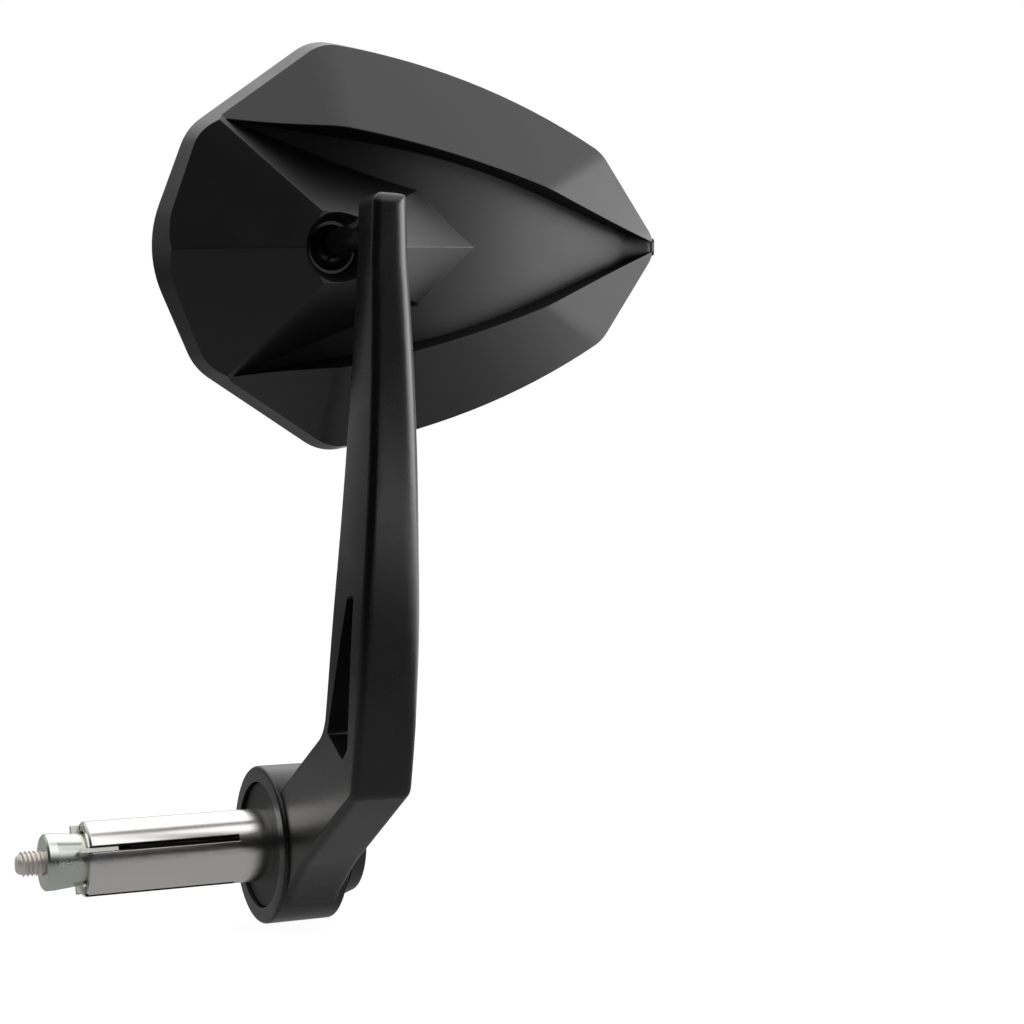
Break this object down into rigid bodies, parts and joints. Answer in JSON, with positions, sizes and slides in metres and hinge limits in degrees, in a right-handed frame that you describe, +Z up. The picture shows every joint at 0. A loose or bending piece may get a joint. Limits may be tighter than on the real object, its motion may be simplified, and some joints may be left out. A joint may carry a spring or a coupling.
{
  "type": "motorcycle bar end mirror",
  "caption": "Bar end mirror: pointed faceted head on a ball stud, slotted cast arm with an eye, and an expanding sleeve that clamps inside the handlebar.",
  "frame": {"origin": "on the handlebar's axis, at the inboard face of the arm's eye", "axes": "+X outboard along the handlebar's axis, +Z up, -Y forward, away from the rider"},
  "size_m": [0.1679, 0.0875, 0.2182],
  "materials": {
    "sleeve_steel": "bright chrome plating",
    "zinc_steel": "zinc plating",
    "bolt_steel": "bare stainless steel",
    "spring_steel": "hardened spring steel",
    "black_steel": "black oxide",
    "ball_steel": "polished black oxide",
    "black_anodised": "satin black anodised",
    "black_coated": "satin black powder coat",
    "black_nylon": "smooth moulded nylon",
    "liner_plastic": "natural acetal",
    "housing_plastic": "fine matt moulded texture",
    "mirror_glass": "silvered convex glass",
    "foam_tape": "adhesive foam"
  },
  "bodies": {
    "insert": {"expander_sleeve": "sleeve_steel", "eye_bush": "black_anodised", "cap_washer": "black_nylon", "end_cap": "black_anodised", "lock_washer": "bolt_steel"},
    "bolt": {"clamp_bolt": "bolt_steel"},
    "cone": {"cone_nut": "zinc_steel"},
    "arm": {"arm": "black_coated"},
    "stud": {"ball_stud": "ball_steel", "stud_lock_nut": "black_steel"},
    "liners": {"ball_liner_front": "liner_plastic", "ball_liner_rear": "liner_plastic"},
    "head": {"mirror_housing": "housing_plastic", "mirror_glass": "mirror_glass", "glass_tape": "foam_tape", "ball_cup": "black_nylon", "disc_spring": "spring_steel", "clamp_plate": "zinc_steel", "clamp_screws": "bolt_steel"}
  },
  "joints": [
    {"name": "arm_swing", "type": "hinge", "parent": "insert", "child": "arm", "pos_m": [0, 0, 0], "axis": [1, 0, 0], "continuous": true},
    {"name": "bolt_turn", "type": "hinge", "parent": "insert", "child": "bolt", "pos_m": [0, 0, 0], "axis": [1, 0, 0], "range_deg": [-540, 1080]},
    {"name": "cone_draw", "type": "slide", "parent": "insert", "child": "cone", "axis": [1, 0, 0], "range_m": [-0.0031, 0.0016]},
    {"name": "head_roll", "type": "hinge", "parent": "arm", "child": "stud", "pos_m": [0.00825, -0.024, 0.1458], "axis": [0, -1, 0], "continuous": true},
    {"name": "head_pan", "type": "hinge", "parent": "stud", "child": "liners", "pos_m": [0.00825, -0.024, 0.1458], "axis": [-0.0671, -0.1129, 0.9913], "range_deg": [-15, 15]},
    {"name": "head_tilt", "type": "hinge", "parent": "liners", "child": "head", "pos_m": [0.00825, -0.024, 0.1458], "axis": [0.9977, -0.0076, 0.0667], "range_deg": [-12, 12]}
  ],
  "couplings": [
    {"joint": "cone_draw", "follows": "bolt_turn", "m_per_rad": -0.00015915}
  ]
}
